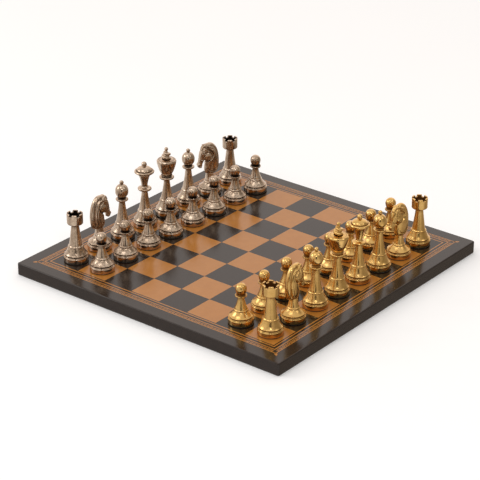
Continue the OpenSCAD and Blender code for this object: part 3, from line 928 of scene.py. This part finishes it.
    # mane, thrown to the off side: a deep parting beside the crest and two long locks
    part = [(2.4, 59.3), (-2.4, 57.4), (-6.2, 53.6), (-8.6, 48.0), (-9.4, 41.5), (-9.2, 34.5), (-7.8, 27.5)]
    chase(part, off_side, 1.5, -1.35, ends=0.08)
    chase([(x + 2.4, z - 1.2) for x, z in part], off_side, 1.7, 0.50)
    lock = [(0.6, 55.2), (-2.6, 51.8), (-4.9, 47.2), (-5.9, 41.0), (-5.6, 34.0), (-4.4, 27.2)]
    chase(lock, off_side, 1.0, -0.75)
    tongue = [(-1.2, 50.0), (-3.0, 45.5), (-3.5, 41.0), (-2.6, 35.5), (-0.6, 30.0), (1.9, 26.2)]
    shelf(tongue, off_side, 0.55, 4.5, left=False)
    chase([(2.6, 41.0), (2.4, 36.5), (3.4, 31.0), (4.6, 27.6)], off_side, 1.6, -0.60)
    # fine strands in the locks
    for dx in (1.2, 3.7):
        chase([(x + dx, z - 0.5 * dx) for x, z in part[1:]], off_side, 0.42, -0.20)
    for dx in (-2.2, -3.7):
        chase([(x + dx * 0.5, z - dx * 0.5) for x, z in part[2:6]], off_side, 0.40, -0.18)
    # the near side is plain: a rolled rim with a line cut inside it
    rim = [(5.0, 58.2), (0.4, 58.9), (-4.2, 56.6), (-7.4, 52.0), (-9.2, 46.0), (-9.9, 39.5), (-9.4, 33.0), (-6.8, 28.6), (-1.5, 27.6), (2.4, 29.4), (4.2, 33.2)]
    chase(rim, near_side, 0.9, -0.50)
    chase([(x * 0.80 - 0.4, 42 + (z - 42) * 0.83) for x, z in rim[2:9]], near_side, 0.5, -0.16)
    chase([(4.6, 27.0), (5.4, 30.0), (5.2, 34.5)], both, 0.9, 0.30)
    # jaw: undercut, then the doubled strap on it
    jaw = [(3.8, 54.6), (-0.6, 52.2), (-2.7, 48.0), (-0.9, 44.2), (3.2, 41.2), (7.4, 38.9), (10.0, 37.8)]
    chase(jaw, both, 1.35, -1.25, ends=0.06)
    chase([(x * 0.86 + 0.95, 47.6 + (z - 47.6) * 0.80) for x, z in jaw], both, 0.75, 0.50, ends=0.06)
    chase([(x * 0.70 + 1.9, 48.0 + (z - 48.0) * 0.58) for x, z in jaw], both, 0.55, -0.30, ends=0.06)
    # bridle: cheek piece, brow band and nose band
    chase([(5.0, 56.6), (6.6, 52.2), (8.6, 47.0), (10.6, 42.4), (11.2, 39.8)], both, 0.75, 0.48, ends=0.05)
    chase([(5.0, 56.2), (7.8, 55.6), (10.6, 54.2)], both, 0.65, 0.40, ends=0.05)
    chase([(8.2, 41.6), (10.8, 42.6), (13.2, 43.6), (14.6, 44.4)], both, 0.80, 0.42, ends=0)
    chase([(11.3, 39.6), (11.35, 39.5), (11.4, 39.4)], both, 1.15, 0.50, ends=0)
    # face: lids, the hollow of the cheek, nostril, mouth, ear
    chase([(7.6, 51.0), (9.1, 50.5), (10.6, 51.3)], both, 0.5, -0.35, ends=0)
    chase([(7.7, 52.3), (9.2, 52.6), (10.7, 51.9)], both, 0.45, -0.30, ends=0)
    chase([(10.6, 48.6), (12.2, 44.8), (13.6, 41.2)], both, 0.85, -0.32)
    chase([(15.2, 38.5), (15.4, 37.6), (14.9, 37.2)], both, 0.75, -0.75, ends=0)
    chase([(15.9, 35.7), (13.8, 35.5), (12.0, 36.5)], both, 0.65, -0.85, ends=0)
    chase([(1.2, 56.3), (3.4, 57.4), (5.6, 58.3), (7.2, 59.0)], both, 0.85, -1.05, ends=0)
    chase([(-2.8, 54.6), (0.4, 54.4), (3.4, 55.6), (6.4, 57.2)], both, 0.7, -0.45)
    co += no * np.clip(lift, -1.6, 1.0)[:, None]
    new.vertices.foreach_set("co", (co * MM).ravel())
    new.update()
    # one light pass evens the chased skin
    e = np.zeros(len(new.edges) * 2, np.int64)
    new.edges.foreach_get("vertices", e)
    e = e.reshape(-1, 2)
    deg = np.maximum(1, np.bincount(e.ravel(), minlength=n)).astype(float)
    acc = np.zeros_like(co)
    np.add.at(acc, e[:, 0], co[e[:, 1]])
    np.add.at(acc, e[:, 1], co[e[:, 0]])
    co = 0.65 * co + 0.35 * acc / deg[:, None]
    new.vertices.foreach_set("co", (co * MM).ravel())
    new.update()
    return new


ME["horse"] = horse_mesh()
# painted shade and patina in the head's chased hollows, from its cavity mask
finish_metal(ME["horse"], 5200, 8, np.full(len(ME["horse"].vertices), 0.45))

# ---------------------------------------------------------------- set the men out
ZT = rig.box("leatherette_cover")[1].z
BODIES = frame["record"]["behaviour"]["bodies"]
mesh_of = {}
FACING = {"gold_knight_b": 0, "gold_knight_g": 173, "silver_knight_b": -4.5, "silver_knight_g": 162}
for idx, (body, nodes) in enumerate(sorted(BODIES.items())):
    if body == "board":
        continue
    side = "gold" if body.startswith("gold") else "silver"
    kind = body.split("_")[1]
    lo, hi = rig.box(body)
    foot_lo, foot_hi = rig.box(body)
    cx, cy = (lo.x + hi.x) / 2, (lo.y + hi.y) / 2
    loc = (cx, cy, ZT)
    key = (kind, side)
    if key not in mesh_of:
        me = ME[kind].copy()
        me.name = f"{side}_{kind}"
        me.materials.clear()
        me.materials.append(GOLD if side == "gold" else SILVER)
        mesh_of[key] = me
    rot = 0.0 if kind == "rook" else math.radians((idx * 137.5) % 360)
    o = place(f"{body}_casting", mesh_of[key], body, f"{side}_metal", loc, rot)
    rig.replaces(o, body)
    f = place(f"{body}_felt_pad", felt_me, body, "felt", loc, 0.0)
    if body + "_felt" in nodes:
        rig.replaces(f, body + "_felt")
    if kind == "knight":
        key = ("horse", side)
        if key not in mesh_of:
            me = ME["horse"].copy()
            me.name = f"{side}_horse"
            me.materials.clear()
            me.materials.append(GOLD if side == "gold" else SILVER)
            mesh_of[key] = me
        h = place(f"{body}_horse_head", mesh_of[key], body, f"{side}_metal", loc, math.radians(FACING[body]))
        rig.replaces(h, body + "_head")
    if kind == "king":
        key = ("finial", side)
        if key not in mesh_of:
            me = ME["finial"].copy()
            me.name = f"{side}_finial"
            me.materials.clear()
            me.materials.append(GOLD if side == "gold" else SILVER)
            mesh_of[key] = me
        h = place(f"{body}_spire", mesh_of[key], body, f"{side}_metal", loc, 0.0)
        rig.replaces(h, body + "_finial")
felt_me.materials.append(FELT)

# ---------------------------------------------------------------- the board
HALF = (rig.box("leatherette_cover")[1].x) / MM
TOP = ZT / MM
FIELD = 8 * 37.25 / 2
RC, RE = 2.4, 1.2
SKIN = 0.03          # the stamped gold lies this much above the leatherette


def square_loop(h, r, per_side, per_corner):
    """Points round a square of half side h with corner radius r, anticlockwise."""
    pts = []
    for q in range(4):
        a0 = q * 90
        cx, cy = {0: (h - r, h - r), 1: (-(h - r), h - r), 2: (-(h - r), -(h - r)), 3: (h - r, -(h - r))}[q]
        for i in range(per_corner + 1):
            a = math.radians(a0 + 90 * i / per_corner)
            pts.append((cx + r * math.cos(a), cy + r * math.sin(a)))
        nx, ny = {0: (-(h - r), h), 1: (-h, -(h - r)), 2: (h - r, -h), 3: (h, h - r)}[q]
        x, y = pts[-1]
        for i in range(1, per_side):
            pts.append((x + (nx - x) * i / per_side, y + (ny - y) * i / per_side))
    return pts


def cover():
    z_top = TOP - SKIN
    prof = []        # (inset from the outer face, height), from the underside's opening round to the top
    prof += [(16.0, 0.78), (16.0, 0.05), (15.9, 0.0), (9.0, 0.0), (3.0, 0.0)]
    prof += [(RE - RE * math.sin(math.radians(a)), RE - RE * math.cos(math.radians(a))) for a in (10, 25, 40, 55, 70, 85)]
    prof += [(0, z) for z in np.linspace(RE + 0.3, TOP - RE - 0.3, 9)]
    prof += [(RE - RE * math.cos(math.radians(a)), z_top - RE + RE * math.sin(math.radians(a))) for a in (5, 18, 31, 44, 57, 70, 82)]
    prof += [(RE + 0.5, z_top), (3.0, z_top), (6.0, z_top), (10.0, z_top)]
    rows, verts, faces = [], [], []
    m = None
    for d, z in prof:
        loop = square_loop(HALF - d, max(RC - d, 0.35), 110, 10)
        m = len(loop)
        row = []
        for i, (x, y) in enumerate(loop):
            p = Vector((x, y, z))
            if d < 3.1:     # glued skin: faint unevenness of the wrapped edge, a fold at each upright corner
                wv = noise.noise(p * 0.03) * 0.10 + noise.noise(p * 0.25) * 0.025
                cd = min(abs(abs(x) - abs(y)), 3.0)
                fold = 0.10 * math.exp(-(cd / 0.35) ** 2) if min(abs(x), abs(y)) > HALF - 4.5 and z < z_top - 0.2 else 0.0
                k = (-0.06 + 0.5 * wv - fold)
                n2 = Vector((x, y, 0)).normalized() if min(abs(x), abs(y)) > HALF - RC else (Vector((math.copysign(1, x), 0, 0)) if abs(x) > abs(y) else Vector((0, math.copysign(1, y), 0)))
                x, y = x + n2.x * k, y + n2.y * k
            row.append(len(verts))
            verts.append((x, y, z))
        rows.append(row)
    for a, b in zip(rows, rows[1:]):
        for i in range(m):
            j = (i + 1) % m
            faces.append((a[i], a[j], b[j], b[i]))
    faces.append(tuple(rows[-1]))
    # inner skin closes the shell against the panel
    inner = []
    for d, z in ((1.1, 0.78), (1.1, TOP - 0.8)):
        row = []
        for x, y in square_loop(HALF - d, 0.5, 110, 10):
            row.append(len(verts))
            verts.append((x, y, z))
        inner.append(row)
    for i in range(m):
        j = (i + 1) % m
        faces.append((inner[0][i], inner[0][j], rows[0][j], rows[0][i]))
        faces.append((inner[1][i], inner[1][j], inner[0][j], inner[0][i]))
    faces.append(tuple(inner[1][::-1]))
    o = make("leatherette_wrap", verts, faces, LEATHER, "board", "leatherette")
    bm = bmesh.new()
    bm.from_mesh(o.data)
    bmesh.ops.recalc_face_normals(bm, faces=bm.faces)
    bm.to_mesh(o.data)
    bm.free()
    o.data.polygons.foreach_set("use_smooth", [True] * len(o.data.polygons))
    o.data.set_sharp_from_angle(angle=math.radians(50))
    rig.replaces(o, "leatherette_cover")
    return o


cover()


def slab_poly(bm, pts, z0, z1):
    """Thin closed plate with that outline."""
    a = [bm.verts.new((x * MM, y * MM, z0 * MM)) for x, y in pts]
    b = [bm.verts.new((x * MM, y * MM, z1 * MM)) for x, y in pts]
    n = len(pts)
    bm.faces.new(b)
    bm.faces.new(a[::-1])
    for i in range(n):
        j = (i + 1) % n
        bm.faces.new((a[i], a[j], b[j], b[i]))


def bm_object(bm, name, mat, slot, *nodes):
    bmesh.ops.recalc_face_normals(bm, faces=bm.faces)
    me = bpy.data.meshes.new(name)
    bm.to_mesh(me)
    bm.free()
    me.materials.append(mat)
    o = place(name, me, "board", slot)
    for n in nodes:
        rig.replaces(o, n)
    return o


ZP0, ZP1 = TOP - 0.07, TOP
SQ = 37.25
EDGE = FIELD - 1.3
bm = bmesh.new()
for f in range(8):
    for r in range(8):
        if (f + r) % 2:
            continue
        cx, cy = (f - 3.5) * SQ, (r - 3.5) * SQ
        h = SQ / 2 - 0.04
        pts = []
        n = 14
        for q in range(4):
            x0, y0 = [(-h, -h), (h, -h), (h, h), (-h, h)][q]
            x1, y1 = [(h, -h), (h, h), (-h, h), (-h, -h)][q]
            for i in range(n):
                s = i / n
                x, y = x0 + (x1 - x0) * s, y0 + (y1 - y0) * s
                w = 0.035 * noise.noise(Vector((cx + x, cy + y, 3.0)) * 0.8)
                if q % 2 == 0:
                    y += w
                else:
                    x += w
                if i == 0:      # the stamp's corners are a touch blunt
                    x *= 0.9965
                    y *= 0.9965
                # the outer squares stop a little short of the first frame line
                pts.append((max(-EDGE, min(EDGE, cx + x)), max(-EDGE, min(EDGE, cy + y))))
        slab_poly(bm, pts, ZP0, ZP1)
bm_object(bm, "stamped_squares", PRINT, "gold_print", "gold_squares")

# the stamped border: fillet lines, a meander band between two lines, and a leaf at each corner
bm = bmesh.new()


def frame_line(r0, r1):
    """Mitred frame between half sides r0 and r1, as four strips."""
    for q in range(4):
        c, s = [(1, 0), (0, 1), (-1, 0), (0, -1)][q]
        pts = []
        for u, v in ((-r0, r0), (-r1, r1), (r1, r1), (r0, r0)):
            pts.append((u * c - v * s, u * s + v * c))
        slab_poly(bm, pts, ZP0, ZP1)


def band_poly(q, pts):
    c, s = [(1, 0), (0, 1), (-1, 0), (0, -1)][q]
    slab_poly(bm, [(u * c - v * s, u * s + v * c) for u, v in pts], ZP0, ZP1)


frame_line(FIELD + 0.1, FIELD + 1.5)
frame_line(FIELD + 4.3, FIELD + 5.5)
frame_line(FIELD + 9.9, FIELD + 10.9)
B0 = FIELD + 6.0                    # key pattern between the two rails: marks 4.2 mm apart, in mirrored pairs
KEY = [(0, 0), (0, 3.4), (3.1, 3.4), (3.1, 0.9), (1.15, 0.9), (1.15, 2.0), (1.85, 2.0), (1.85, 1.5), (2.45, 1.5), (2.45, 2.6),
       (0.65, 2.6), (0.65, 0)]
count = 74
period = 2 * (FIELD + 5.9) / count
for q in range(4):
    for k in range(count):
        x0 = -(FIELD + 5.9) + (k + 0.5) * period
        m = 1 if k % 2 else -1
        pts = [(x0 + m * (a - 1.55), B0 + b) for a, b in KEY]
        band_poly(q, pts if m == 1 else pts[::-1])
for q in range(4):
    c, s = [(1, 0), (0, 1), (-1, 0), (0, -1)][q]
    d = FIELD + 11.0
    leaf = []
    for i in range(17):
        t_ = i / 16
        w = 1.5 * math.sin(math.pi * t_) ** 0.8
        leaf.append((d - 2.6 + 6.6 * t_, w))
    leaf = leaf + [(a, -b) for a, b in leaf[-2:0:-1]]
    r2 = math.sqrt(0.5)
    slab_poly(bm, [((a - b) * c - (a + b) * s if False else ((d + (a - d) * r2 - b * r2) * c - (d + (a - d) * r2 + b * r2) * s),
                    ((d + (a - d) * r2 - b * r2) * s + (d + (a - d) * r2 + b * r2) * c)) for a, b in leaf], ZP0, ZP1)
bm_object(bm, "stamped_border", PRINT, "gold_print", "gold_border")

frame["nodes"]["board_core"].data.materials.clear()
frame["nodes"]["board_core"].data.materials.append(PANEL)
frame["nodes"]["underside_lining"].data.materials.clear()
frame["nodes"]["underside_lining"].data.materials.append(LINING)

# ---------------------------------------------------------------- stage and light
t = Mat("stage_floor")
t.set(Roughness=0.9, Emission_Color=(0.97, 0.98, 1.0, 1), Emission_Strength=0.13)
t.b.inputs["Specular IOR Level"].default_value = 0.0
gn = t.noise(t.coords(False), 3.0, 2, 0.5)
t.l(t.mix(gn, (0.930, 0.933, 0.950), (0.945, 0.948, 0.965)), t.b.inputs["Base Color"])
floor = make("stage_floor", [(-9000, -9000, -0.05), (9000, -9000, -0.05), (9000, 9000, -0.05), (-9000, 9000, -0.05)], [(0, 1, 2, 3)], t.m, smooth=False)
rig.stage(floor)
floor.visible_glossy = False

w = bpy.data.worlds.new("studio")
SC.world = w
w.use_nodes = True
nt = w.node_tree
nt.nodes.clear()


def wn(kind, **kw):
    n_ = nt.nodes.new(kind)
    for k_, v_ in kw.items():
        setattr(n_, k_, v_)
    return n_


tc = wn("ShaderNodeTexCoord")


def lobe(direction, inner, outer):
    """1 within the inner angle of that direction, 0 beyond the outer one."""
    dt = wn("ShaderNodeVectorMath", operation="DOT_PRODUCT")
    dt.inputs[1].default_value = Vector(direction).normalized()
    nt.links.new(tc.outputs["Generated"], dt.inputs[0])
    m_ = wn("ShaderNodeMapRange", interpolation_type="SMOOTHSTEP")
    m_.inputs["From Min"].default_value = math.cos(math.radians(outer))
    m_.inputs["From Max"].default_value = math.cos(math.radians(inner))
    nt.links.new(dt.outputs["Value"], m_.inputs["Value"])
    return m_.outputs[0]


def towards(az, el):
    """Azimuth from +X, anticlockwise."""
    a_, e_ = math.radians(az), math.radians(el)
    return (math.cos(e_) * math.cos(a_), math.cos(e_) * math.sin(a_), math.sin(e_))


LOBES = [   # direction, inner, outer, colour
    (towards(308, 15), 25, 72, (0.36, 0.325, 0.275)),
    (towards(128, 12), 20, 62, (0.92, 0.90, 0.86)),
    (towards(0, 90), 18, 52, (0.90, 0.875, 0.84)),
    (towards(38.4, 12), 32, 68, (1.19, 1.095, 1.025)),
    (towards(0, -90), 45, 84, (1.00, 0.98, 0.94)),
    (towards(322, -28), 15, 48, (0.42, 0.37, 0.31)),
    (towards(142, -24), 10, 35, (0.68, 0.65, 0.62)),
    (towards(218.4, 19), 7, 17, (0.05, 0.045, 0.038)),
    (towards(218.4, 2), 6, 15, (0.05, 0.044, 0.036)),
]
prev = wn("ShaderNodeRGB")
prev.outputs[0].default_value = (0.70, 0.665, 0.615, 1)
prev = prev.outputs[0]
for d_, a_, b_, c_ in LOBES:
    mx = wn("ShaderNodeMix", data_type="RGBA")
    nt.links.new(lobe(d_, a_, b_), mx.inputs[0])
    nt.links.new(prev, mx.inputs[6])
    mx.inputs[7].default_value = (*c_, 1)
    prev = mx.outputs[2]
bg = wn("ShaderNodeBackground")
nt.links.new(prev, bg.inputs["Color"])
white = wn("ShaderNodeBackground")
white.inputs["Color"].default_value = (1, 1, 1, 1)
white.inputs["Strength"].default_value = 1.05
lp = wn("ShaderNodeLightPath")
ms = wn("ShaderNodeMixShader")
out = wn("ShaderNodeOutputWorld")
nt.links.new(lp.outputs["Is Camera Ray"], ms.inputs[0])
nt.links.new(bg.outputs[0], ms.inputs[1])
nt.links.new(white.outputs[0], ms.inputs[2])
nt.links.new(ms.outputs[0], out.inputs["Surface"])


def area(name, az, el, dist, size, radiance, color=(1, 1, 1)):
    """Softbox seen from the board's middle at that azimuth and elevation."""
    d = bpy.data.lights.new(name, "AREA")
    d.shape = "RECTANGLE"
    d.size, d.size_y = size
    d.energy = radiance * size[0] * size[1] * math.pi
    d.color = color
    o = bpy.data.objects.new(name, d)
    SC.collection.objects.link(o)
    o.location = Vector(towards(az, el)) * dist
    o.rotation_mode = "QUATERNION"
    o.rotation_quaternion = (-o.location).to_track_quat("-Z", "Y")
    return o


area("key_left", 128, 31, 2.0, (0.75, 0.62), 3.3, (1.0, 0.985, 0.96))
area("top_left", 175, 62, 2.0, (0.8, 0.6), 1.9, (1.0, 0.99, 0.97))
area("front_small", 222, 38, 1.7, (0.16, 0.16), 14.0, (1.0, 0.985, 0.96))
area("fill_right", 285, 46, 2.0, (0.45, 0.45), 1.9, (1.0, 0.98, 0.95))

# ---------------------------------------------------------------- sizes, then finish
lo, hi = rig.bounds()
with open("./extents.json", "w") as fh:
    json.dump({"cad_box": [list(cad_lo), list(cad_hi)], "visual_box": [list(lo), list(hi)]}, fh)
